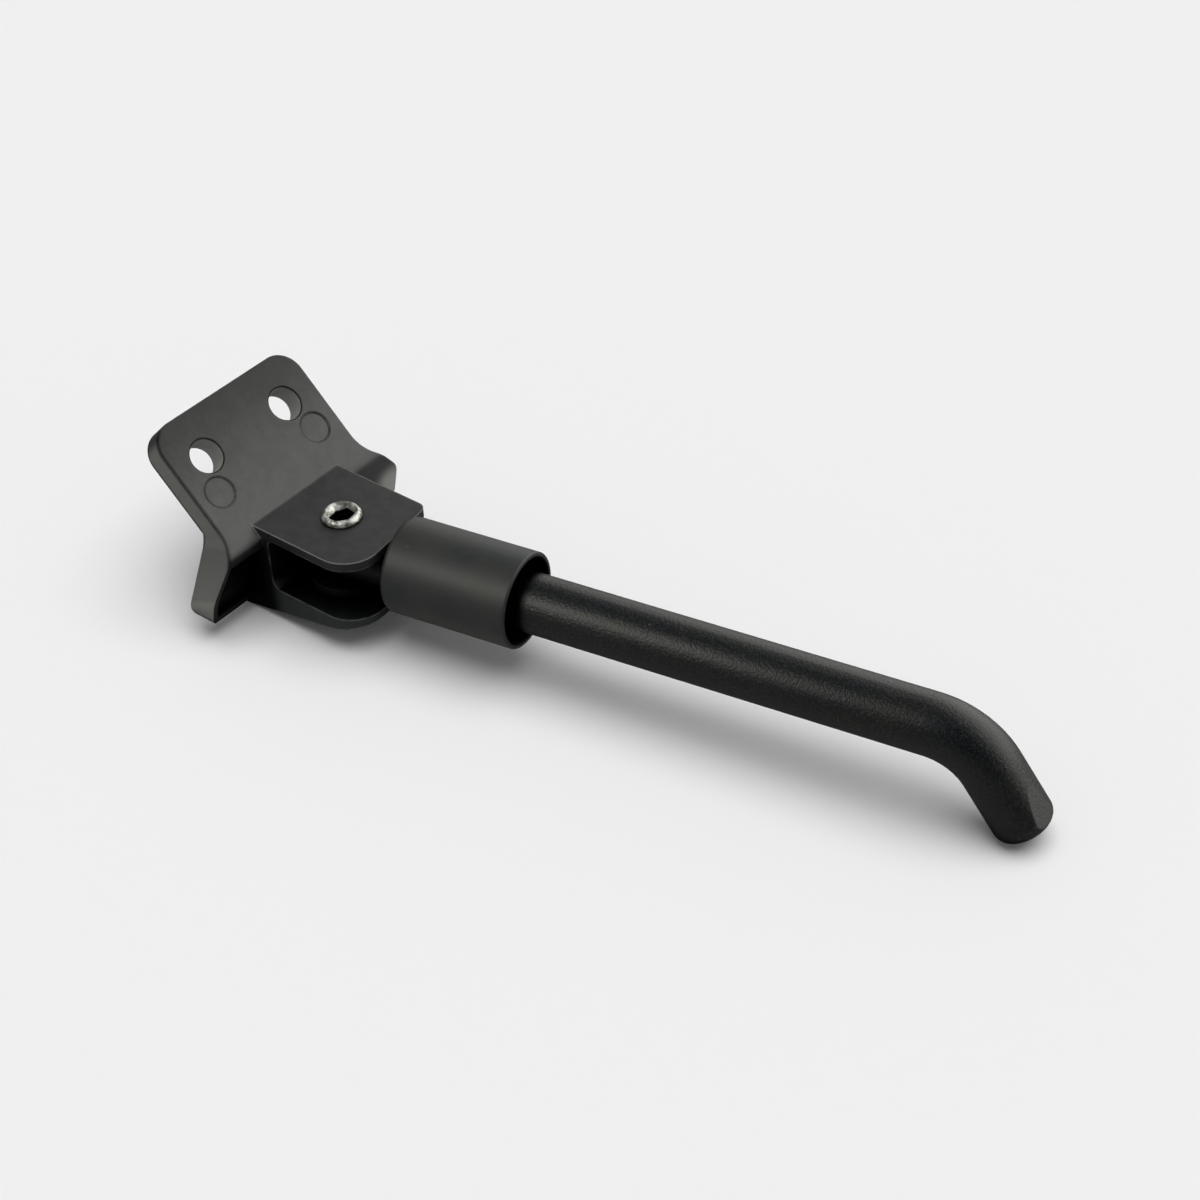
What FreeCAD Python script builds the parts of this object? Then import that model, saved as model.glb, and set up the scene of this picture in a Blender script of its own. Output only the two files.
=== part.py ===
import FreeCAD, Part
import math
import os

from FreeCAD import Placement, Rotation, Vector

# Electric scooter kickstand: a cast bracket, a leg that swings in its clevis and a sprung sleeve on it.
# Everything is drawn about the pivot (X out of the clevis, Y along the row of bolt holes, Z along the pin)
# and then laid down as it rests, on the bracket's heel and the leg's foot.

# Mounting plate of the bracket
plate_slope = 44.0
plate_width = 32.4
plate_length = 21.4
plate_thickness = 4.2
plate_corner_radius = 4.5
bolt_hole_diameter = 5.8
bolt_hole_spacing = 18.5
bolt_hole_height = 13.4
bolt_hole_rim = 0.3
ejector_mark_diameter = 5.4
ejector_mark_spacing = 22.6
ejector_mark_height = 7.3
ejector_mark_depth = 0.2

# Lip of the bracket, below the plate
lip_front = 8.5
lip_thickness = 7.6
lip_taper = 2.7
lip_reach_left = 21.4
lip_reach_right = 23.4
lip_drop = 8.8
lip_sweep_slope = 23.0
lip_shoulder_height = 7.1
lip_shoulder_radius = 7.0
lip_flare_left = 27.0
lip_flare_right = 42.0
lip_flare_radius = 4.0
lip_end_radius = 2.0
lip_front_edge_radius = 1.4
lip_back_edge_radius = 2.8
ridge_radius = 2.2
pocket_end_wall = 1.0
pocket_roof = 1.6
pocket_floor_height = -7.0
pocket_depth = 2.6
pocket_radius = 1.6

# Clevis ears of the bracket
ear_width = 20.6
ear_top = 6.0
ear_root = 10.7
ear_root_radius = 1.4
ear_front_end = 12.0
ear_rear_end = 9.5
ear_front_radius = 6.0
ear_rear_radius = 1.8
top_ear_thickness = 1.7
clevis_gap = 10.0
clevis_depth = 7.5
clevis_root_radius = 1.5
lower_ear_slope = 10.9
lower_ear_tip_drop = 6.95
heel_radius = 1.5

# Leg
leg_diameter = 10.0
leg_lean = 10.7
leg_length = 110.0
eye_thickness = 8.2
eye_flat_length = 15.0
bend_angle = 56.0
bend_radius = 12.0
foot_length = 18.1
foot_edge_radius = 2.4
foot_facet_tilt = 5.0
foot_facet_turn = 12.0
foot_facet_depth = 0.5

# Pivot bolt, bush, washer and nut
bolt_diameter = 5.0
bolt_head_diameter = 6.8
bolt_head_height = 1.4
bolt_head_rim = 0.8
socket_width = 4.0
socket_depth = 1.0
bolt_tail = 0.4
bush_wall = 0.75
thrust_washer_diameter = 13.0
nut_width = 8.0
nut_height = 2.7
nut_seat_diameter = 10.4
nut_seat_drop = 8.5

# Sleeve and its spring
sleeve_diameter = 16.3
sleeve_wall = 1.0
sleeve_start = 11.35
sleeve_end = 34.4
sleeve_nose_radius = 0.9
sleeve_rim_radius = 0.3
sleeve_flange = 1.6
spring_turns = 5
spring_wire_share = 0.6
spring_clearance_share = 0.1
seat_start = 27.0
seat_thickness = 1.0
ring_thickness = 1.1
ring_width = 1.5
ring_depth = 0.5
ring_opening = 60.0

# Clearances
running_clearance = 0.05
face_clearance = 0.05
sliding_clearance = 0.15

X = Vector(1, 0, 0)
Y = Vector(0, 1, 0)
Z = Vector(0, 0, 1)
ORIGIN = Vector(0, 0, 0)
FAR = 200.0

leg_radius = leg_diameter / 2
slope = math.radians(plate_slope)
lean = math.radians(leg_lean)
bend = math.radians(bend_angle)
plate_up = Vector(-math.cos(slope), 0, math.sin(slope))
plate_normal = Vector(math.sin(slope), 0, math.cos(slope))
plate_root = Vector(-ear_root, 0, ear_top)
lip_back = -lip_front - lip_thickness
clevis_top = ear_top - top_ear_thickness
clevis_bottom = clevis_top - clevis_gap
bush_diameter = bolt_diameter + 2 * running_clearance + 2 * bush_wall
sleeve_inner_radius = sleeve_diameter / 2 - sleeve_wall
spring_room = sleeve_inner_radius - leg_radius
spring_wire = spring_room * spring_wire_share
spring_clearance = spring_room * spring_clearance_share


def outline(corners):
    """Closed wire through corners, each a point and the radius that rounds it."""
    starts, arcs, ends = [], [], []
    for i, (point, radius) in enumerate(corners):
        before = (corners[i - 1][0] - point).normalize()
        after = (corners[(i + 1) % len(corners)][0] - point).normalize()
        if radius == 0:
            starts.append(point)
            ends.append(point)
            continue
        half = before.getAngle(after) / 2
        reach = radius / math.tan(half)
        middle = point + (before + after).normalize() * (radius / math.sin(half) - radius)
        starts.append(point + before * reach)
        ends.append(point + after * reach)
        arcs.append(Part.Arc(starts[i], middle, ends[i]).toShape())
    lines = []
    for i, end in enumerate(ends):
        start = starts[(i + 1) % len(starts)]
        if end.distanceToPoint(start) > 1e-6:
            lines.append(Part.makeLine(end, start))
    return Part.Wire(Part.__sortEdges__(arcs + lines))


def prism(corners, direction):
    """Solid swept from a rounded outline along a direction."""
    return Part.Face(outline(corners)).extrude(direction)


def side_prism(corners, width):
    """Solid with the outline of X, Z corners, across the middle of the part."""
    return prism([(Vector(x, -width / 2, z), r) for x, z, r in corners], Y * width)


def front_prism(corners, sweep_slope=0.0):
    """Solid with the outline of Y, Z corners at the lip's front, swept through the whole bracket."""
    sweep = Vector(math.cos(math.radians(sweep_slope)), 0, math.sin(math.radians(sweep_slope)))
    start = X * -lip_front - sweep * FAR
    return prism([(start + Vector(0, y, z), r) for y, z, r in corners], sweep * (2 * FAR))


def ring_about_leg(corners):
    """Solid turned about the leg's line from corners of reach along the leg, radius and rounding."""
    return Part.Face(outline([(Vector(s, 0, r), c) for s, r, c in corners])).revolve(ORIGIN, X, 360)


def washer_about_leg(start, thickness, inner, outer):
    """Flat ring on the leg's line."""
    end = start + thickness
    return ring_about_leg([(start, inner, 0), (start, outer, 0), (end, outer, 0), (end, inner, 0)])


def post(diameter, bottom, top):
    """Upright cylinder on the pin's line."""
    return Part.makeCylinder(diameter / 2, top - bottom, Z * bottom)


def hexagon(width, bottom, top):
    """Upright hexagonal bar on the pin's line, given across its flats."""
    corner = Vector(width / math.sqrt(3), 0, bottom)
    points = [Rotation(Z, 60 * i).multVec(corner) for i in range(7)]
    return Part.Face(Part.makePolygon(points)).extrude(Z * (top - bottom))


def plate_point(across, up):
    return plate_root + Y * across + plate_up * up


def plate_front_height(x):
    """Height of the plate's front face above a given X."""
    return ear_top - (x + ear_root) * math.tan(slope)


def lower_ear_height(x):
    """Height of the sloped underside of the lower ear."""
    return -lower_ear_tip_drop + (x - ear_front_end) * math.tan(math.radians(lower_ear_slope))


def make_plate():
    half = plate_width / 2
    front = [
        (plate_point(-half, 0), 0),
        (plate_point(half, 0), 0),
        (plate_point(half, plate_length), plate_corner_radius),
        (plate_point(-half, plate_length), plate_corner_radius),
    ]
    return prism(front, plate_normal * -plate_thickness)


def flared_sides(inset):
    """Everything between the sides of the plate and the flared sides of the lip, moved in by an inset."""
    shoulder = plate_width / 2 - inset
    left = lip_reach_left - inset
    right = lip_reach_right - inset
    left_height = lip_shoulder_height - (left - shoulder) / math.tan(math.radians(lip_flare_left))
    right_height = lip_shoulder_height - (right - shoulder) / math.tan(math.radians(lip_flare_right))
    corners = [
        (-shoulder, FAR, 0),
        (shoulder, FAR, 0),
        (shoulder, lip_shoulder_height, lip_shoulder_radius),
        (right, right_height, lip_flare_radius),
        (right, -FAR, 0),
        (-left, -FAR, 0),
        (-left, left_height, lip_flare_radius),
        (-shoulder, lip_shoulder_height, lip_shoulder_radius),
    ]
    return front_prism(corners, lip_sweep_slope)


def lip_front_at(height):
    """X of the lip's front, which falls back below the ridge."""
    ridge = plate_front_height(-lip_front)
    return -lip_front - lip_taper * (ridge - height) / (ridge + lip_drop)


def make_lip():
    profile = [
        (-lip_front, plate_front_height(-lip_front), ridge_radius),
        (lip_front_at(-lip_drop), -lip_drop, lip_front_edge_radius),
        (lip_back, -lip_drop, lip_back_edge_radius),
        (lip_back, plate_front_height(lip_back), 0),
    ]
    ends = [
        (-lip_reach_left, -lip_drop, lip_end_radius),
        (lip_reach_right, -lip_drop, lip_end_radius),
        (lip_reach_right, FAR, 0),
        (-lip_reach_left, FAR, 0),
    ]
    return side_prism(profile, FAR).common(flared_sides(0)).common(front_prism(ends))


def make_pocket():
    """Hollow in the lip's front, on the left of the ears."""
    back = lip_front_at(pocket_floor_height) - pocket_depth
    roof = plate_front_height(-lip_front) - pocket_roof
    profile = [
        (0, pocket_floor_height, 0),
        (back, pocket_floor_height, pocket_radius),
        (back, roof, pocket_radius),
        (0, roof, 0),
    ]
    left = Part.makeBox(2 * FAR, FAR, 2 * FAR, Vector(-FAR, -ear_width / 2 - FAR, -FAR))
    return side_prism(profile, FAR).common(flared_sides(pocket_end_wall)).common(left)


def ear_plan():
    """Plan of the ears: their end is slanted, and the sleeve rides over the round front corner."""
    half = ear_width / 2
    return [
        (Vector(lip_back, -half, -FAR), 0),
        (Vector(ear_front_end, -half, -FAR), ear_front_radius),
        (Vector(ear_rear_end, half, -FAR), ear_rear_radius),
        (Vector(lip_back, half, -FAR), 0),
    ]


def make_ears():
    reach = 2 * ear_front_end
    profile = [
        (reach, ear_top, 0),
        (reach, lower_ear_height(reach), 0),
        (lip_back, lower_ear_height(lip_back), heel_radius),
        (lip_back, 0, 0),
        (-ear_root - plate_thickness / 2, ear_top, 0),
    ]
    clevis = [
        (reach, clevis_top, 0),
        (reach, clevis_bottom, 0),
        (-clevis_depth, clevis_bottom, clevis_root_radius),
        (-clevis_depth, clevis_top, clevis_root_radius),
    ]
    block = side_prism(profile, FAR).common(prism(ear_plan(), Z * (2 * FAR)))
    return block.cut(side_prism(clevis, FAR))


def root_fillet():
    """Soft corner where the top ear leaves the plate."""
    turn = (math.pi - slope) / 2
    reach = ear_root_radius / math.tan(turn)
    start = plate_root + X * reach
    end = plate_root + plate_up * reach
    centre = start + Z * ear_root_radius
    middle = centre + (plate_root - centre).normalize() * ear_root_radius
    edges = [
        Part.Arc(start, middle, end).toShape(),
        Part.makeLine(end, plate_root),
        Part.makeLine(plate_root, start),
    ]
    solid = Part.Face(Part.Wire(edges)).extrude(Y * ear_width)
    solid.translate(Y * (-ear_width / 2))
    return solid


def make_bracket():
    body = make_plate().multiFuse([make_lip(), make_ears(), root_fillet()])
    body = body.cut(make_pocket())
    inward = plate_normal * -1
    for side in (-0.5, 0.5):
        hole = plate_point(side * bolt_hole_spacing, bolt_hole_height)
        bore = bolt_hole_diameter / 2
        body = body.cut(Part.makeCylinder(bore, 2 * plate_thickness, hole, inward))
        body = body.cut(Part.makeCone(bore + bolt_hole_rim, bore, bolt_hole_rim, hole, inward))
        mark = plate_point(side * ejector_mark_spacing, ejector_mark_height)
        body = body.cut(Part.makeCylinder(ejector_mark_diameter / 2, ejector_mark_depth, mark, inward))
    body = body.cut(post(bolt_diameter + 2 * running_clearance, -FAR, FAR))
    body = body.cut(post(nut_seat_diameter, -FAR, -nut_seat_drop))
    return body.removeSplitter()


def make_pivot_bolt():
    top = ear_top + bolt_head_height
    head_corners = [
        (Vector(0, 0, ear_top), 0),
        (Vector(bolt_head_diameter / 2, 0, ear_top), 0),
        (Vector(bolt_head_diameter / 2, 0, top), bolt_head_height - bolt_head_rim),
        (Vector(0, 0, top), 0),
    ]
    head = Part.Face(outline(head_corners)).revolve(ORIGIN, Z, 360)
    shank = post(bolt_diameter, -nut_seat_drop - nut_height - bolt_tail, ear_top)
    socket = hexagon(socket_width, top - socket_depth, top)
    return shank.fuse(head).cut(socket).removeSplitter()


def make_pivot_bush():
    bore = bolt_diameter + 2 * running_clearance
    solid = post(bush_diameter, -eye_thickness / 2, eye_thickness / 2)
    return solid.cut(post(bore, -eye_thickness, eye_thickness))


def make_thrust_washer():
    bottom = clevis_bottom + face_clearance
    top = -eye_thickness / 2 - face_clearance
    bore = bolt_diameter + 2 * running_clearance
    return post(thrust_washer_diameter, bottom, top).cut(post(bore, bottom, top))


def make_lock_nut():
    top = -nut_seat_drop
    body = hexagon(nut_width, top - nut_height, top)
    return body.cut(post(bolt_diameter + 2 * running_clearance, -FAR, FAR))


def foot_direction():
    return Vector(math.cos(bend), 0, -math.sin(bend))


def make_leg():
    tangent = bend_radius * math.tan(bend / 2)
    bend_start = Vector(leg_length - tangent, 0, 0)
    bend_centre = bend_start - Z * bend_radius
    apex = Vector(leg_length, 0, 0)
    along_foot = foot_direction()
    bend_end = apex + along_foot * tangent

    eye = Part.makeCylinder(leg_radius, leg_diameter, Z * -leg_radius)
    bar = Part.makeCylinder(leg_radius, leg_diameter, X * -leg_radius, X).common(eye)
    bar = bar.fuse(Part.makeCylinder(leg_radius, bend_start.x, ORIGIN, X))
    flat_corner = Vector(-leg_radius, -leg_radius, eye_thickness / 2)
    flat = Part.makeBox(eye_flat_length + leg_radius, leg_diameter, leg_diameter, flat_corner)
    groove_start = seat_start + seat_thickness
    groove_width = ring_thickness + 2 * face_clearance
    groove = washer_about_leg(groove_start, groove_width, leg_radius - ring_depth, leg_diameter)
    bush_hole = post(bush_diameter + running_clearance, -FAR, FAR)
    for cutter in (flat, flat.mirror(ORIGIN, Z), bush_hole, groove):
        bar = bar.cut(cutter)

    section = Part.Face(Part.Wire(Part.makeCircle(leg_radius, bend_start, X)))
    elbow = section.revolve(bend_centre, Y, bend_angle)

    foot = Part.makeCylinder(leg_radius, foot_length - tangent, bend_end, along_foot)
    toe = apex + along_foot * foot_length
    rim = min(foot.Edges, key=lambda edge: edge.CenterOfMass.distanceToPoint(toe))
    foot = foot.makeFillet(foot_edge_radius, [rim])
    outward = Rotation(along_foot, foot_facet_turn).multVec(along_foot.cross(Y))
    tilt = math.radians(foot_facet_tilt)
    facet_normal = outward * math.cos(tilt) + along_foot * math.sin(tilt)
    facet_place = toe - along_foot * foot_edge_radius + outward * (leg_radius - foot_facet_depth)
    facet = Part.makeBox(FAR, FAR, FAR, Vector(-FAR / 2, -FAR / 2, 0))
    facet.Placement = Placement(facet_place, Rotation(Z, facet_normal))
    return bar.multiFuse([elbow, foot]).cut(facet).removeSplitter()


def make_sleeve():
    outer = sleeve_diameter / 2
    bore = leg_radius + sliding_clearance
    inside = sleeve_start + sleeve_flange
    return ring_about_leg([
        (sleeve_start, bore, 0),
        (sleeve_start, outer, sleeve_nose_radius),
        (sleeve_end, outer, sleeve_rim_radius),
        (sleeve_end, sleeve_inner_radius, sleeve_rim_radius),
        (inside, sleeve_inner_radius, sleeve_rim_radius),
        (inside, bore, 0),
    ])


def make_sleeve_spring():
    wire = spring_wire / 2
    radius = leg_radius + spring_clearance + wire
    first = sleeve_start + sleeve_flange + face_clearance + wire
    last = seat_start - face_clearance - wire
    height = last - first
    path = Part.makeHelix(height / spring_turns, height, radius)
    climb = Vector(0, radius, height / (2 * math.pi * spring_turns))
    section = Part.Wire(Part.makeCircle(wire, X * radius, climb))
    coil = Part.Wire(path).makePipeShell([section], True, True)
    coil.Placement = Placement(X * first, Rotation(Z, X))
    return coil


def make_spring_seat():
    outer = leg_radius + spring_clearance + spring_wire
    return washer_about_leg(seat_start, seat_thickness, leg_radius + running_clearance, outer)


def make_retaining_ring():
    inner = leg_radius - ring_depth + running_clearance
    start = seat_start + seat_thickness + face_clearance
    ring = washer_about_leg(start, ring_thickness, inner, inner + ring_width)
    half = math.radians(ring_opening / 2)
    reach = leg_diameter * Vector(0, math.sin(half), -math.cos(half))
    wedge = Part.Face(Part.makePolygon([ORIGIN, reach, Vector(0, -reach.y, reach.z), ORIGIN]))
    return ring.cut(wedge.extrude(X * sleeve_end))


def resting_placement(parts):
    """Lays the kickstand down on its heel and its foot, with the origin under the middle of its box."""
    heel = Vector(lip_back + heel_radius, 0, lower_ear_height(lip_back + heel_radius))
    foot_inner_side = Vector(-math.sin(bend), 0, -math.cos(bend))
    foot = X * leg_length + foot_direction() * (foot_length - foot_edge_radius)
    foot += foot_inner_side * (leg_radius - foot_edge_radius) - Z * foot_edge_radius
    tilt = math.degrees(math.atan2(heel.z - foot.z, foot.x * math.cos(lean) - heel.x))
    turned = Placement(ORIGIN, Rotation(Y, -tilt))
    whole = Part.makeCompound([shape.transformed(turned.toMatrix(), True) for shape in parts.values()])
    box = whole.optimalBoundingBox(False)
    return Placement(Vector(-box.Center.x, -box.Center.y, -box.ZMin), turned.Rotation)


def make_parts():
    """All sub-parts by name, drawn about the pivot."""
    parts = {
        "bracket": make_bracket(),
        "pivot_bolt": make_pivot_bolt(),
        "thrust_washer": make_thrust_washer(),
        "lock_nut": make_lock_nut(),
    }
    on_leg = {
        "leg": make_leg(),
        "pivot_bush": make_pivot_bush(),
        "spring_seat": make_spring_seat(),
        "retaining_ring": make_retaining_ring(),
        "sleeve": make_sleeve(),
        "sleeve_spring": make_sleeve_spring(),
    }
    leaning = Placement(ORIGIN, Rotation(Z, leg_lean)).toMatrix()
    for name, shape in on_leg.items():
        parts[name] = shape.transformed(leaning, True)
    return parts


def main():
    os.makedirs("parts", exist_ok=True)
    parts = make_parts()
    resting = resting_placement(parts).toMatrix()
    for name, shape in parts.items():
        placed = shape.transformed(resting, True)
        print(name, len(placed.Solids), "solid, valid:", placed.isValid(), round(placed.Volume, 1), "mm3")
        placed.exportStep(f"parts/{name}.step")


if __name__ == "__main__":
    main()
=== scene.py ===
import math

import bmesh
import bpy
from mathutils import Matrix, Vector


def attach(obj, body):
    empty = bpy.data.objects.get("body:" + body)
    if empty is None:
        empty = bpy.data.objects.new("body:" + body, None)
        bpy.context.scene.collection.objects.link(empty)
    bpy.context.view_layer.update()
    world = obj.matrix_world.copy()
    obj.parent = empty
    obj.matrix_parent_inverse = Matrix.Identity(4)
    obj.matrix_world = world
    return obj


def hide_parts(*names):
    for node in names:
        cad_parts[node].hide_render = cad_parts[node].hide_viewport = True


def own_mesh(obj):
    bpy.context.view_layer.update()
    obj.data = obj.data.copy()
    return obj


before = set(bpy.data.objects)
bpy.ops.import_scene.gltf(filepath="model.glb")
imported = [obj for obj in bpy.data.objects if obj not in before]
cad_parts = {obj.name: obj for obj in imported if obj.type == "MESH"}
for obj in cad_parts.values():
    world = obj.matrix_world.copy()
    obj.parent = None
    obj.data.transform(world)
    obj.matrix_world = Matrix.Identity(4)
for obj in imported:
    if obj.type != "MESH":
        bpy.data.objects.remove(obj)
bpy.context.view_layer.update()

MM = 0.001

# Pin, leg and plate, as the kickstand lies at rest, in metres
PIN = Vector((-0.0459805, -0.0028197, 0.0126076))
PIN_LINE = Vector((-0.037107, 0.0, 0.999311))
PIN_SIDE = Vector((0.0, 1.0, 0.0))
PIN_FRONT = PIN_SIDE.cross(PIN_LINE)
LEG_LINE = Vector((0.981935, 0.185667, 0.036462))
LEG_SIDE = PIN_LINE.cross(LEG_LINE)
FACET_LINE = Vector((0.86199, -0.044482, 0.50497))
PLATE_LINE = Vector((0.667487, 0.0, 0.744621))
BOLT_HOLES = (
    Vector((-0.066874, -0.01207, 0.027151)),
    Vector((-0.066874, 0.00643, 0.027151)),
)
EJECTOR_MARKS = (
    Vector((-0.06233, -0.01412, 0.023079)),
    Vector((-0.06233, 0.00848, 0.023079)),
)

# Bands over which the bracket's masks rise or fall: upwards from the pin, in metres
UNDER_BRACKET_UP = (-0.0058, -0.0054)
LOWER_EAR_UP = (-0.005, -0.003)
UNDER_UPPER_EAR_UP = (0.0037, 0.0043)
EAR_RIM_UP = (0.0048, 0.0056)
EAR_TOP_UP = (0.0054, 0.0058)
OVER_EAR_UP = (0.0066, 0.0072)
SIDE_UP = (-0.008, 0.006)
LOBE_UP = (0.003, 0.006)
LOBE_END_UP = (-0.0035, 0.0010)
PLATE_UP = (0.006, 0.024)
PLATE_DULL_UP = (0.008, 0.022)
PLATE_EDGE_UP = (0.002, 0.004)

# The same sideways from the pin, where the wings are on both sides
WING_ASIDE = (0.0120, 0.0135)
LOBE_ASIDE = (0.0105, 0.0115)
LOBE_END_ASIDE = (0.0170, 0.0210)
CLEVIS_ASIDE = (0.0100, 0.0112)
EAR_RIM_ASIDE = (-0.008, -0.003)
PLATE_EDGE_ASIDE = (-0.0150, -0.0125)

# The same forwards from the pin
POCKET_EDGE_FORWARD = (-0.0083, -0.0080)
LOWER_EAR_FORWARD = (-0.0085, -0.0050)

# Rounds on the bracket, for painted light in the bolt holes, painted shade round their mouths and
# round the bolt, and the ejector marks: radii, and half widths over which their lines fade
BORE_RADII = (0.00295, 0.00305)
HOLE_RIM_RADIUS = 0.00307
HOLE_RIM_WIDTHS = (0.00008, 0.00016)
EJECTOR_RADIUS = 0.0027
EJECTOR_WIDTHS = (0.0001, 0.00028)
BOLT_SHADE_RADII = (0.0036, 0.0052)

# How far a surface has to face along a line to count
FACING = (0.80, 0.95)
FACING_UP = (0.95, 0.99)
FACING_UP_LOOSELY = (0.5, 0.8)
FACING_ASIDE_SQUARED = (0.45, 0.95)
FACING_DOWN_SLEEVE = (-0.55, -0.05)
FACING_FACET = (0.9972, 0.9992)

# Sleeve and leg: bands out from the leg's line and along it, in metres
SLEEVE_INSIDE_OUT = (0.0073, 0.0077)
SLEEVE_SHADE_START = (0.026, 0.028)
SLEEVE_SHADE_END = (0.0344, 0.0372)

# Edges: how alike the rounded and the true surface are, and how finely shading is sampled
EDGE_ALIKE = (0.86, 0.985)
SHADE_SAMPLES = 6
# Colour of the painted shade
DEAD_BLACK = 0.0005

# Pivot bolt: radius and height over the ear, from the tip to the socket's floor, in millimetres
BOLT_PROFILE = (
    (2.4, -17.6), (2.5, -17.5), (2.5, 0.0), (3.4, 0.0), (3.4, 0.3), (3.36, 0.52), (3.25, 0.74),
    (3.10, 0.93), (2.92, 1.08), (2.76, 1.14), (2.62, 1.12), (2.50, 1.04), (2.36, 0.90),
    (2.20, 0.70), (2.04, 0.48), (1.88, 0.28), (1.60, 0.10), (1.0, 0.02),
)
BOLT_STEPS = 96
EAR_TOP = 0.006

# Worn hex socket of the bolt: it fades in from the mouth's radius, in millimetres
SOCKET_MOUTH = 2.7
SOCKET_FADE = 0.6
SOCKET_TURN = 0.35
SOCKET_HEX = 1.1
SOCKET_MEAN = 1.06
SOCKET_OVAL = 0.14
SOCKET_OVAL_TURN = 1.2
SOCKET_RADII = (0.0022, 0.0026)
SOCKET_UP = (0.0062, 0.0064)

# Spring inside the sleeve
SPRING_START = 0.0130
SPRING_END = 0.02695
SPRING_WIRE = 0.000645
SPRING_RADIUS = 0.00586
SPRING_TURNS = 5
SPRING_STEPS = 40 * SPRING_TURNS
WIRE_STEPS = 12

# Camera, fitted to the photograph
CAMERA_PLACE = Vector((0.18166, -0.222834, 0.267317))
CAMERA_RIGHT = Vector((0.787213, 0.616659, -0.005234))
CAMERA_UP = Vector((-0.396442, 0.512554, 0.761658))
CAMERA_BACK = Vector((0.472366, -0.597512, 0.647958))
CAMERA_LENS = 73.05
CAMERA_SENSOR = 36.0
CAMERA_NEAR = 0.01

# Studio
PAPER = 0.90
PAPER_SPREAD = 0.004
PAPER_MIRRORED = 0.28
PAPER_SIZE = 8.0
BACKDROP = 0.88
SKY_STRENGTH = 0.37
ROOM_BRIGHT = (1.0, 1.0, 0.95, 1)
ROOM_DARK = (0.004, 0.009, 0.015, 1)
ROOM_SIDE = (0.045, 0.052, 0.066, 1)
ROOM_STRENGTH = 2.5
WINDOW_SIDE = Vector((0.35, 0.92, 0.10)).normalized()
WINDOW_GLOW = (0.18, 0.9)
LEFT_SIDE = Vector((-0.55, -0.60, 0.58)).normalized()
LEFT_GLOW = (0.55, 0.97)
TOP_LIGHT_STRENGTH = 2.13
TOP_LIGHT_SPREAD = 60
TOP_LIGHT_FROM = Vector((0.12, 0.05, 1.0))
LEFT_LIGHT_AIM = Vector((-0.001, 0.001, 0.014))
LEFT_LIGHT_FROM = Vector((-0.33, -0.70, 0.63)).normalized()
LEFT_LIGHT_DISTANCE = 0.20
LEFT_LIGHT_SIZE = 0.09
LEFT_LIGHT_POWER = 0.165
LEFT_LIGHT_TINT = (1.0, 1.0, 0.88)


def grey(level, warmth=0.0):
    return (level * (1 + warmth), level, level * (1 - warmth), 1)


def squares(band):
    return tuple(limit ** 2 for limit in band)


class Value:
    """A shader output that takes part in Python sums, each of which adds a Math node."""

    def __init__(self, graph, socket):
        self.graph = graph
        self.socket = socket

    def sum_of(self, operation, first, second):
        return self.graph.node("ShaderNodeMath", {"operation": operation}, {0: first, 1: second})

    def __add__(self, other):
        return self.sum_of("ADD", self, other)

    def __radd__(self, other):
        return self.sum_of("ADD", other, self)

    def __sub__(self, other):
        return self.sum_of("SUBTRACT", self, other)

    def __rsub__(self, other):
        return self.sum_of("SUBTRACT", other, self)

    def __mul__(self, other):
        return self.sum_of("MULTIPLY", self, other)

    def __rmul__(self, other):
        return self.sum_of("MULTIPLY", other, self)


class Graph:
    """The nodes of a material or of the world."""

    def __init__(self, tree):
        self.tree = tree

    def node(self, kind, settings=None, sockets=None, output=0):
        """Adds a node: its settings first, then the values or links of its sockets."""
        node = self.tree.nodes.new(kind)
        for name, value in (settings or {}).items():
            setattr(node, name, value)
        self.plug(node, sockets or {})
        return Value(self, node.outputs[output]) if node.outputs else None

    def plug(self, node, sockets):
        for key, value in sockets.items():
            if isinstance(value, Value):
                self.tree.links.new(value.socket, node.inputs[key])
            else:
                node.inputs[key].default_value = value

    def ramp(self, value, band, start=0.0, end=1.0):
        """Value spread from start to end over a band, and held beyond it."""
        low, high = band
        sockets = {"Value": value, "From Min": low, "From Max": high, "To Min": start, "To Max": end}
        return self.node("ShaderNodeMapRange", {"interpolation_type": "SMOOTHSTEP"}, sockets)

    def fall(self, value, band, top=1.0):
        """Value that falls from a top to nought over a band."""
        return self.ramp(value, band, top, 0.0)

    def mix(self, factor, first, second):
        """Colour between first and second."""
        sockets = {0: factor, 6: first, 7: second}
        return self.node("ShaderNodeMix", {"data_type": "RGBA"}, sockets, output=2)

    def vectors(self, operation, first, second=None, output=0):
        sockets = {0: first} if second is None else {0: first, 1: second}
        return self.node("ShaderNodeVectorMath", {"operation": operation}, sockets, output)

    def dot(self, first, second):
        return self.vectors("DOT_PRODUCT", first, second, "Value")


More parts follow.
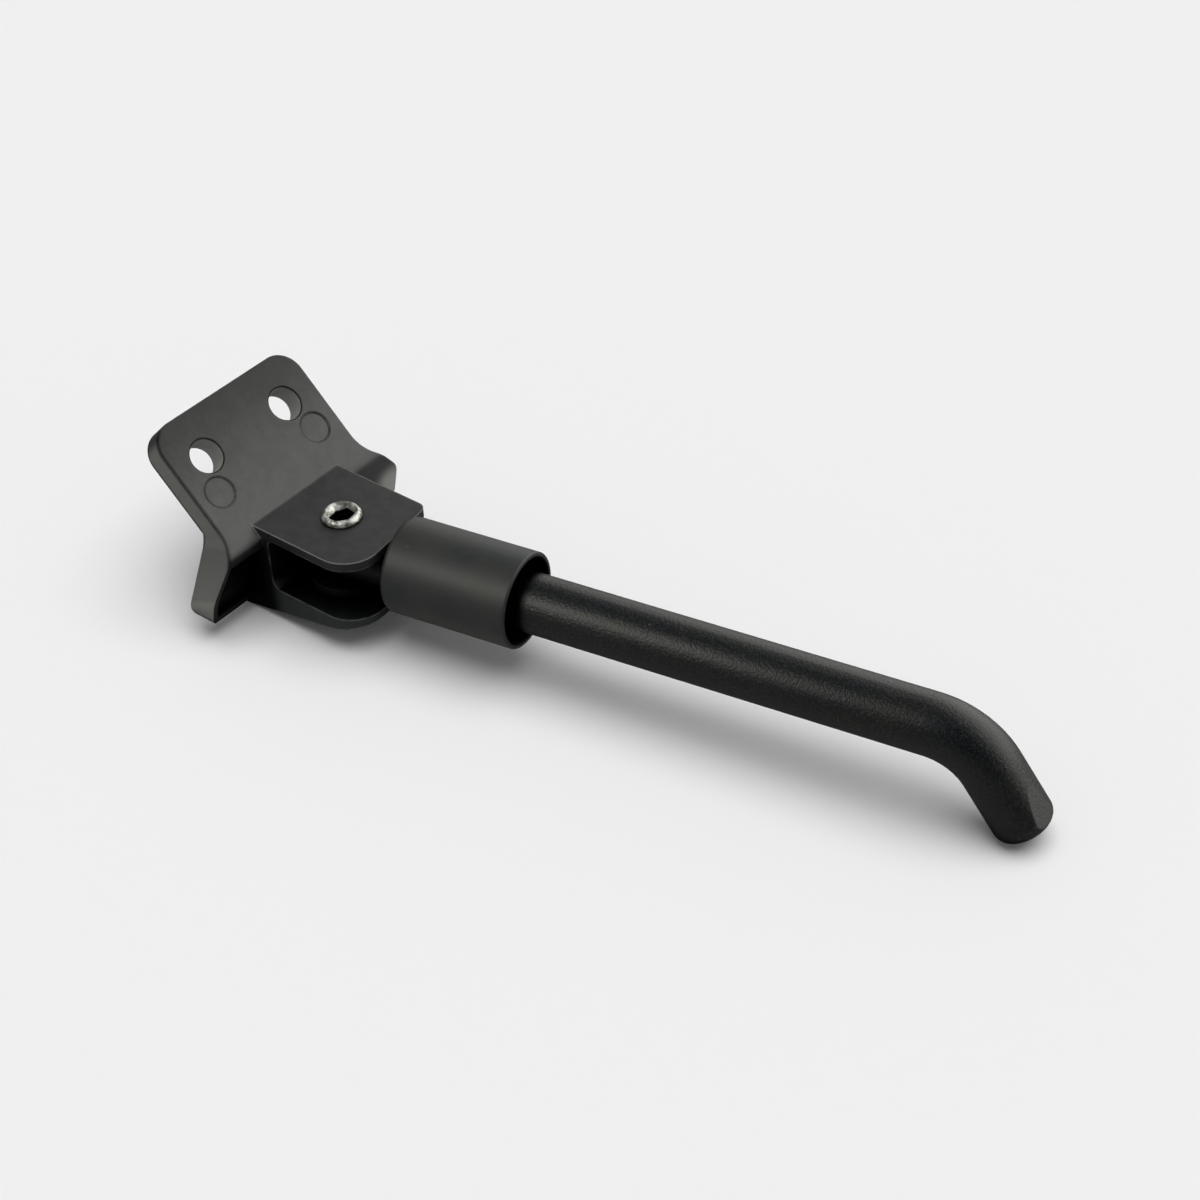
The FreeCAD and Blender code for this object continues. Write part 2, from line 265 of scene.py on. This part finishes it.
class Finish(Graph):
    """A procedural material and the nodes it is made of."""

    def __init__(self, name):
        self.material = bpy.data.materials.new(name)
        self.material.use_nodes = True
        super().__init__(self.material.node_tree)
        self.shader = self.tree.nodes["Principled BSDF"]

    def surface(self, **sockets):
        """Sets the shader's sockets, named with underscores for spaces."""
        self.plug(self.shader, {key.replace("_", " "): value for key, value in sockets.items()})
        return self.material

    def darken(self, hollow):
        """Dead black in the hollows, where hardly any light comes."""
        coat = Value(self, self.shader.outputs[0])
        black = self.node("ShaderNodeBsdfDiffuse", sockets={"Color": grey(DEAD_BLACK)})
        mixed = self.node("ShaderNodeMixShader", sockets={0: hollow, 1: coat, 2: black})
        self.plug(self.tree.nodes["Material Output"], {"Surface": mixed})

    def hollow(self, reach, band):
        """Nought on open surfaces, one in hollows that are closed in within a reach."""
        settings = {"samples": SHADE_SAMPLES}
        light = self.node("ShaderNodeAmbientOcclusion", settings, {"Distance": reach}, output="AO")
        return self.fall(light, band)

    def facing(self, line):
        """How far the surface faces along a line of the part."""
        return self.dot(self.node("ShaderNodeTexCoord", output="Normal"), line)

    def rounded(self, radius):
        """Normal of a surface whose edges are rounded by a radius."""
        return self.node("ShaderNodeBevel", {"samples": SHADE_SAMPLES}, {"Radius": radius})

    def edges(self, radius):
        """One along the edges, nought elsewhere."""
        true = self.node("ShaderNodeNewGeometry", output="Normal")
        return self.fall(self.dot(self.rounded(radius), true), EDGE_ALIKE)

    def place(self):
        """Place on the piece, in metres."""
        return self.node("ShaderNodeTexCoord", output="Object")

    def beyond(self, point, line):
        """How far the place lies beyond a point along a line."""
        return self.dot(self.place(), line) - line.dot(point)

    def away(self, point, line):
        """How far the place lies from a line through a point."""
        off = self.vectors("SUBTRACT", self.place(), point)
        return self.vectors("LENGTH", self.vectors("CROSS_PRODUCT", off, line), output="Value")

    def ring(self, point, line, radius, widths):
        """One on a ring round a line through a point, nought beside it."""
        off = self.away(point, line) - radius
        return self.fall(off * off, squares(widths))

    def noise(self, scale, detail=2.0, roughness=0.5):
        sockets = {"Vector": self.place(), "Scale": scale, "Detail": detail, "Roughness": roughness}
        return self.node("ShaderNodeTexNoise", sockets=sockets)

    def bump(self, height, distance, strength, normal):
        sockets = {"Height": height, "Distance": distance, "Strength": strength, "Normal": normal}
        return self.node("ShaderNodeBump", sockets=sockets)


class CastFinish(Finish):
    """Coat of the die casting, with the masks that its colour, its painted light and its painted
    shade share.
    """

    def __init__(self, name):
        super().__init__(name)
        self.cloud = self.noise(90, 3)
        self.grain = self.noise(2600, 2)
        self.fine = self.noise(5200, 1)
        self.above = self.beyond(PIN, PIN_LINE)
        self.aside = self.beyond(PIN, PIN_SIDE)
        self.front = self.ramp(self.facing(PLATE_LINE), FACING)
        self.thin_edges = self.edges(0.0004)

    def coat(self):
        """Black, with painted light: lighter low on the plate, on the upper ear's top and on the
        lower ear.
        """
        mottle = self.ramp(self.noise(420, 4, 0.65), (0.35, 0.65))
        blend = 0.4 * self.cloud + 0.5 * mottle + 0.1 * self.fine
        colour = self.mix(blend, grey(0.004, 0.01), grey(0.013, 0.01))
        # Painted light: the lower ear is painted a lighter blue-grey.
        lower_ear_light = self.fall(self.above, LOWER_EAR_UP, 0.7)
        colour = self.mix(lower_ear_light, colour, (0.015, 0.022, 0.022, 1))
        # Painted light: the plate's front is painted lighter towards the bottom.
        low_plate_light = self.front * self.fall(self.above, PLATE_UP)
        colour = self.mix(low_plate_light * (0.85 + 0.3 * mottle), colour, grey(0.056))
        # Painted light: the upper ear's top face is painted lighter.
        ear_top_light = self.ramp(self.facing(PIN_LINE), FACING_UP) * self.ramp(self.above, EAR_TOP_UP)
        return self.mix(ear_top_light, colour, self.mix(mottle, grey(0.013), grey(0.021)))

    def colour(self):
        """The coat, with painted light on the sideways faces, in the bolt holes and on the lip's
        right end, and painted highlights along thin edges.
        """
        wing = self.ramp(self.aside * self.aside, squares(WING_ASIDE))
        side = self.facing(PIN_SIDE)
        # Painted light: faces of the wings that face sideways are painted grey, lighter towards the
        # bottom, as if lit from the side.
        painted_side_light = wing * self.ramp(side * side, FACING_ASIDE_SQUARED)
        low_side_light, high_side_light = (0.22, 0.222, 0.198, 1), (0.15, 0.152, 0.137, 1)
        side_light_grey = self.mix(self.ramp(self.above, SIDE_UP), low_side_light, high_side_light)
        colour = self.mix(painted_side_light * (0.7 + 0.3 * self.cloud), self.coat(), side_light_grey)
        for hole in BOLT_HOLES:
            # Painted light: the walls of the bolt holes are painted light grey.
            bore_light = self.fall(self.away(hole, PLATE_LINE), BORE_RADII)
            colour = self.mix(bore_light, colour, (0.225, 0.226, 0.207, 1))
        # Painted light: the lip's right end is painted lighter, and its forward-facing tip light
        # grey.
        lobe_light = self.ramp(self.aside, LOBE_ASIDE) * self.fall(self.above, LOBE_UP)
        colour = self.mix(0.8 * lobe_light * (1 - painted_side_light), colour, grey(0.042))
        lobe_end_light = self.ramp(self.aside, LOBE_END_ASIDE) * self.fall(self.above, LOBE_END_UP)
        lobe_end_light *= self.ramp(self.facing(PIN_FRONT), FACING)
        colour = self.mix(lobe_end_light, colour, (0.30, 0.30, 0.27, 1))
        # Painted highlights: a patchy light line along thin edges outside the wings, and a lighter
        # one along the upper ear's top edges on one side.
        edge_highlight = self.thin_edges * (1 - wing) * self.ramp(self.noise(500, 3), (0.30, 0.55))
        colour = self.mix(edge_highlight, colour, grey(0.12, 0.02))
        ear_rim_highlight = self.thin_edges * self.ramp(self.above, EAR_RIM_UP)
        ear_rim_highlight *= self.fall(self.above, OVER_EAR_UP) * self.fall(self.aside, EAR_RIM_ASIDE)
        return self.mix(ear_rim_highlight, colour, grey(0.26, -0.03))

    def clevis_shade(self):
        """Painted shade in the hollow between the ears, but neither on its front edges nor on the
        lower ear's outside.
        """
        inside = self.hollow(0.014, (0.45, 0.85)) * self.fall(self.above, UNDER_UPPER_EAR_UP)
        inside *= self.fall(self.aside, CLEVIS_ASIDE)
        forward = self.beyond(PIN, PIN_FRONT)
        inside *= 1 - 0.75 * self.thin_edges * self.ramp(forward, POCKET_EDGE_FORWARD)
        outside = self.fall(self.above, UNDER_BRACKET_UP)
        outside *= self.fall(self.facing(PIN_LINE), FACING_UP_LOOSELY)
        return inside * (1 - outside * self.ramp(forward, LOWER_EAR_FORWARD))

    def dark(self):
        """Where dead black is mixed in: painted shade in the clevis, round the bolt and round the
        mouths of the holes, a dark line along the plate's left edge, and the ejector marks.
        """
        # Painted shadow on the casting round the bolt's head.
        bolt_shadow = self.hollow(0.0025, (0.35, 0.85))
        bolt_shadow *= self.fall(self.away(PIN, PIN_LINE), BOLT_SHADE_RADII)
        plate_edge = 0.9 * self.edges(0.0014) * self.fall(self.aside, PLATE_EDGE_ASIDE)
        plate_edge *= self.ramp(self.above, PLATE_EDGE_UP)
        dark = self.clevis_shade() + bolt_shadow + plate_edge
        for mark in EJECTOR_MARKS:
            line = self.ring(mark, PLATE_LINE, EJECTOR_RADIUS, EJECTOR_WIDTHS)
            dark += 0.42 * self.front * line
        # Painted shade: a dark ring round the mouth of each bolt hole.
        for hole in BOLT_HOLES:
            dark += 0.6 * self.ring(hole, PLATE_LINE, HOLE_RIM_RADIUS, HOLE_RIM_WIDTHS)
        return dark


def cast_black():
    """Satin black coat on the die casting, painted greyer on its sideways faces as painted light,
    with painted shade in its hollows.
    """
    f = CastFinish("cast_black")
    dull_plate = f.front * f.ramp(f.above, PLATE_DULL_UP)
    rough = 0.42 + 0.10 * f.cloud + 0.08 * f.grain + 0.14 * dull_plate
    normal = f.bump(f.grain + 0.5 * f.fine, 0.00003, 0.3, f.rounded(0.0005))
    # Painted shade and the dark lines go in as dead black.
    f.darken(f.dark())
    return f.surface(Base_Color=f.colour(), Roughness=rough, Normal=normal)


def sleeve_black():
    """Smooth matt black of the sleeve, with painted shade inside, painted light on faces turned down
    and a painted highlight along its edges.
    """
    f = Finish("sleeve_black")
    cloud = f.noise(120, 3)
    grain = f.noise(4200, 2)
    speck = f.ramp(f.noise(900, 1), (0.76, 0.80))
    blue, olive = (0.014, 0.016, 0.0185, 1), (0.024, 0.0245, 0.0205, 1)
    colour = f.mix(f.ramp(cloud, (0.3, 0.7)), blue, olive)
    colour = f.mix(speck * 0.3, colour, grey(0.09))
    # Painted light from the floor: faces turned down are painted lighter.
    underside_light = f.fall(f.facing(PIN_LINE), FACING_DOWN_SLEEVE, 0.7)
    colour = f.mix(underside_light, colour, (0.046, 0.047, 0.040, 1))
    # Painted highlight: a patchy light line along the sleeve's edges.
    rim_highlight = f.edges(0.0003) * f.ramp(f.noise(800, 2), (0.45, 0.60))
    colour = f.mix(0.6 * rim_highlight, colour, grey(0.11, 0.03))
    rough = 0.46 + 0.12 * cloud
    normal = f.bump(grain, 0.00002, 0.2, f.rounded(0.0003))
    # Painted shade: dead black inside the sleeve.
    f.darken(f.fall(f.away(PIN, LEG_LINE), SLEEVE_INSIDE_OUT, 0.95))
    return f.surface(Base_Color=colour, Roughness=rough, Normal=normal)


def powder_black():
    """Black powder coat of the leg, with its fine orange-peel grain, painted glints, a little dust,
    a painted sheen on its end facet and painted shade.
    """
    f = Finish("powder_black")
    cloud = f.noise(70, 3)
    peel = f.noise(1500, 3, 0.6)
    fine = f.noise(2600, 1, 0.6)
    dust = f.ramp(f.noise(700, 1), (0.78, 0.81))
    colour = f.mix(cloud, grey(0.0008, -0.1), grey(0.003, 0.05))
    # Painted glints: specks of the fine grain are painted blue and olive, more strongly where the
    # cloud noise is high.
    blue, olive = (0.009, 0.011, 0.017, 1), (0.016, 0.017, 0.009, 1)
    painted_glint = f.mix(f.ramp(f.noise(140, 2), (0.40, 0.60)), blue, olive)
    colour = f.mix(f.ramp(fine, (0.50, 0.66)) * (0.4 + 0.6 * cloud), colour, painted_glint)
    colour = f.mix(dust * 0.4, colour, grey(0.14, 0.03))
    # Painted sheen: the foot's end facet is painted a lighter grey.
    colour = f.mix(f.ramp(f.facing(FACET_LINE), FACING_FACET), colour, grey(0.03))
    rough = 0.36 + 0.08 * cloud + 0.10 * fine
    normal = f.bump(0.4 * peel + fine, 0.00011, 0.6, f.rounded(0.0006))
    # Painted shade: dead black in the leg's hollows and on the rod inside the sleeve, fading out
    # past the sleeve's mouth.
    along = f.beyond(PIN, LEG_LINE)
    sleeve_shade = f.ramp(along, SLEEVE_SHADE_START) * f.fall(along, SLEEVE_SHADE_END, 0.95)
    f.darken(f.hollow(0.010, (0.35, 0.85)) + sleeve_shade)
    return f.surface(Base_Color=colour, Roughness=rough, Normal=normal)


def bright_zinc():
    """Zinc plate, dulled and stained, with fine dents, and painted shade in the low places and in
    the hex socket.
    """
    f = Finish("bright_zinc")
    cloud = f.noise(560, 3, 0.6)
    dents = f.noise(900, 3, 0.6)
    stained, clean = (0.17, 0.174, 0.157, 1), (0.60, 0.61, 0.565, 1)
    colour = f.mix(f.ramp(cloud, (0.42, 0.60)), stained, clean)
    rough = 0.26 + 0.18 * cloud
    normal = f.bump(dents, 0.00025, 0.6, f.rounded(0.0002))
    # Painted shade: dead black in the hex socket and in the low places.
    socket = f.fall(f.away(PIN, PIN_LINE), SOCKET_RADII)
    socket *= f.fall(f.beyond(PIN, PIN_LINE), SOCKET_UP)
    f.darken(f.hollow(0.003, (0.30, 0.62)) + socket)
    return f.surface(Base_Color=colour, Metallic=0.55, Roughness=rough, Normal=normal)


def oiled_steel():
    """Dark oiled steel of the spring and the ring."""
    f = Finish("oiled_steel")
    streak = f.noise(600, 3)
    colour = f.mix(streak, grey(0.10), grey(0.30, 0.02))
    return f.surface(Base_Color=colour, Metallic=1.0, Roughness=0.28 + 0.2 * streak)


def bush_bronze():
    """Plain sintered bronze, with painted shade in its hollows."""
    f = Finish("bush_bronze")
    pores = f.noise(3000, 2)
    colour = f.mix(pores, (0.05, 0.035, 0.02, 1), (0.16, 0.11, 0.06, 1))
    # Painted shade: dead black in the hollows.
    f.darken(f.hollow(0.006, (0.35, 0.9)))
    return f.surface(Base_Color=colour, Metallic=1.0, Roughness=0.4 + 0.2 * pores)


def washer_plastic():
    """Black moulded plastic of the thrust washer, with painted shade in its hollows."""
    f = Finish("washer_plastic")
    grain = f.noise(2000, 2)
    colour = f.mix(grain, grey(0.006), grey(0.014))
    # Painted shade: dead black in the hollows.
    f.darken(f.hollow(0.010, (0.35, 0.9)))
    return f.surface(Base_Color=colour, Roughness=0.45 + 0.15 * grain)


def on_leg(along, across, up):
    """Point given along the leg, across it and up, from the pin."""
    return PIN + LEG_LINE * along + LEG_SIDE * across + PIN_LINE * up


def skin(name, rings):
    """Closed mesh over rings of points, one after the other, with a flat face at each end."""
    mesh = bmesh.new()
    rings = [[mesh.verts.new(point) for point in ring] for ring in rings]
    for before, after in zip(rings, rings[1:]):
        for i in range(len(before)):
            k = (i + 1) % len(before)
            mesh.faces.new((before[i], after[i], after[k], before[k]))
    mesh.faces.new(rings[0])
    mesh.faces.new(reversed(rings[-1]))
    bmesh.ops.recalc_face_normals(mesh, faces=mesh.faces)
    data = bpy.data.meshes.new(name)
    mesh.to_mesh(data)
    mesh.free()
    return data


def coil_rings():
    """Rings of round wire wound on the leg at an even pitch."""
    first = SPRING_START + SPRING_WIRE
    last = SPRING_END - SPRING_WIRE
    for i in range(SPRING_STEPS + 1):
        part = i / SPRING_STEPS
        angle = 2 * math.pi * SPRING_TURNS * part
        along = first + (last - first) * part
        ring = []
        for j in range(WIRE_STEPS):
            turn = 2 * math.pi * j / WIRE_STEPS
            reach = SPRING_RADIUS + SPRING_WIRE * math.cos(turn)
            shift = along + SPRING_WIRE * math.sin(turn)
            ring.append(on_leg(shift, reach * math.sin(angle), reach * math.cos(angle)))
        yield ring


def socket_reach(angle):
    """Reach of the worn hex socket at an angle, where one is a plain round one."""
    flat = (angle + SOCKET_TURN) % (math.pi / 3) - math.pi / 6
    hex_reach = 1 + SOCKET_HEX * (1 / math.cos(flat) - SOCKET_MEAN)
    oval = 1 + SOCKET_OVAL * math.cos(2 * (angle - SOCKET_OVAL_TURN))
    return hex_reach * oval


def bolt_rings():
    """Rings of a bolt with a low rounded head, whose worn hex socket is dished at its mouth."""
    for radius, height in BOLT_PROFILE:
        inside = 0.0
        if height > 0:
            inside = max(0.0, min(1.0, (SOCKET_MOUTH - radius) / SOCKET_FADE))
        ring = []
        for i in range(BOLT_STEPS):
            angle = 2 * math.pi * i / BOLT_STEPS
            reach = MM * radius * (1 + inside * (socket_reach(angle) - 1))
            up = EAR_TOP + MM * height
            ring.append(on_leg(reach * math.cos(angle), reach * math.sin(angle), up))
        yield ring


def add_mesh(name, mesh, material, body):
    piece = bpy.data.objects.new(name, mesh)
    bpy.context.scene.collection.objects.link(piece)
    piece.data.materials.append(material)
    for face in piece.data.polygons:
        face.use_smooth = True
    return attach(piece, body)


def add_bolt(material):
    bolt = add_mesh("bolt", skin("bolt", bolt_rings()), material, "bracket")
    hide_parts("pivot_bolt")


def add_spring(material):
    """Coiled spring on the leg, inside the sleeve, in place of the sleeve_spring part."""
    spring = add_mesh("spring_coil", skin("spring_coil", coil_rings()), material, "leg")
    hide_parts("sleeve_spring")
    on_leg(SPRING_END, 0, 0)
    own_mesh(spring)


def coat_parts():
    zinc = bright_zinc()
    steel = oiled_steel()
    finishes = {
        "bracket": cast_black(),
        "leg": powder_black(),
        "sleeve": sleeve_black(),
        "lock_nut": zinc,
        "spring_seat": zinc,
        "retaining_ring": steel,
        "pivot_bush": bush_bronze(),
        "thrust_washer": washer_plastic(),
    }
    for name, material in finishes.items():
        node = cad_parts[name]
        node.data.materials.clear()
        node.data.materials.append(material)
    add_spring(steel)
    add_bolt(zinc)


def add_floor():
    """Pale paper under the kickstand, dimmer in the kickstand's reflections."""
    mesh = bpy.data.meshes.new("paper")
    signs = ((-1, -1), (1, -1), (1, 1), (-1, 1))
    corners = [(PAPER_SIZE * x, PAPER_SIZE * y, 0) for x, y in signs]
    mesh.from_pydata(corners, [], [(0, 1, 2, 3)])
    floor = bpy.data.objects.new("paper", mesh)
    bpy.context.scene.collection.objects.link(floor)
    f = Finish("paper_white")
    colour = f.mix(f.noise(300, 3), grey(PAPER - PAPER_SPREAD), grey(PAPER + PAPER_SPREAD))
    mirrored = f.node("ShaderNodeLightPath", output="Is Glossy Ray")
    colour = f.mix(mirrored, colour, grey(PAPER_MIRRORED))
    mesh.materials.append(f.surface(Base_Color=colour, Roughness=0.9, Specular_IOR_Level=0.0))


def add_world():
    """Studio that is bright behind the kickstand and dim before it, on a pale backdrop."""
    world = bpy.data.worlds.new("studio")
    world.use_nodes = True
    world.node_tree.nodes.clear()
    graph = Graph(world.node_tree)
    direction = graph.node("ShaderNodeTexCoord", output="Generated")
    left = graph.ramp(graph.dot(direction, LEFT_SIDE), LEFT_GLOW)
    window = graph.ramp(graph.dot(direction, WINDOW_SIDE), WINDOW_GLOW)
    colour = graph.mix(window, graph.mix(left, ROOM_DARK, ROOM_SIDE), ROOM_BRIGHT)
    room = graph.node("ShaderNodeBackground", sockets={"Color": colour, "Strength": ROOM_STRENGTH})
    sky = graph.node("ShaderNodeBackground", sockets={"Strength": SKY_STRENGTH})
    backdrop = graph.node("ShaderNodeBackground", sockets={"Color": grey(BACKDROP)})
    mirrored = graph.node("ShaderNodeLightPath", output="Is Glossy Ray")
    seen = graph.node("ShaderNodeLightPath", output="Is Camera Ray")
    around = graph.node("ShaderNodeMixShader", sockets={0: mirrored, 1: sky, 2: room})
    whole = graph.node("ShaderNodeMixShader", sockets={0: seen, 1: around, 2: backdrop})
    graph.node("ShaderNodeOutputWorld", sockets={"Surface": whole})
    bpy.context.scene.world = world


def add_lamp(name, kind, energy, towards):
    lamp = bpy.data.objects.new(name, bpy.data.lights.new(name, kind))
    lamp.data.energy = energy
    lamp.rotation_euler = towards.to_track_quat("Z", "Y").to_euler()
    bpy.context.scene.collection.objects.link(lamp)
    return lamp


def add_lights():
    """Wide soft light from above, and a small soft one at the bracket's left."""
    top = add_lamp("top_light", "SUN", TOP_LIGHT_STRENGTH, TOP_LIGHT_FROM)
    top.data.angle = math.radians(TOP_LIGHT_SPREAD)
    top.visible_glossy = False
    left = add_lamp("left_light", "AREA", LEFT_LIGHT_POWER, LEFT_LIGHT_FROM)
    left.data.size = LEFT_LIGHT_SIZE
    left.data.color = LEFT_LIGHT_TINT
    left.visible_diffuse = False
    left.location = LEFT_LIGHT_AIM + LEFT_LIGHT_FROM * LEFT_LIGHT_DISTANCE


def add_camera():
    data = bpy.data.cameras.new("camera")
    data.sensor_fit = "HORIZONTAL"
    data.sensor_width = CAMERA_SENSOR
    data.lens = CAMERA_LENS
    data.clip_start = CAMERA_NEAR
    camera = bpy.data.objects.new("camera", data)
    turn = Matrix((CAMERA_RIGHT, CAMERA_UP, CAMERA_BACK)).transposed()
    camera.matrix_world = Matrix.Translation(CAMERA_PLACE) @ turn.to_4x4()
    bpy.context.scene.collection.objects.link(camera)
    bpy.context.scene.camera = camera


bpy.context.scene.view_settings.view_transform = "Standard"
coat_parts()
add_floor()
add_world()
add_lights()
add_camera()
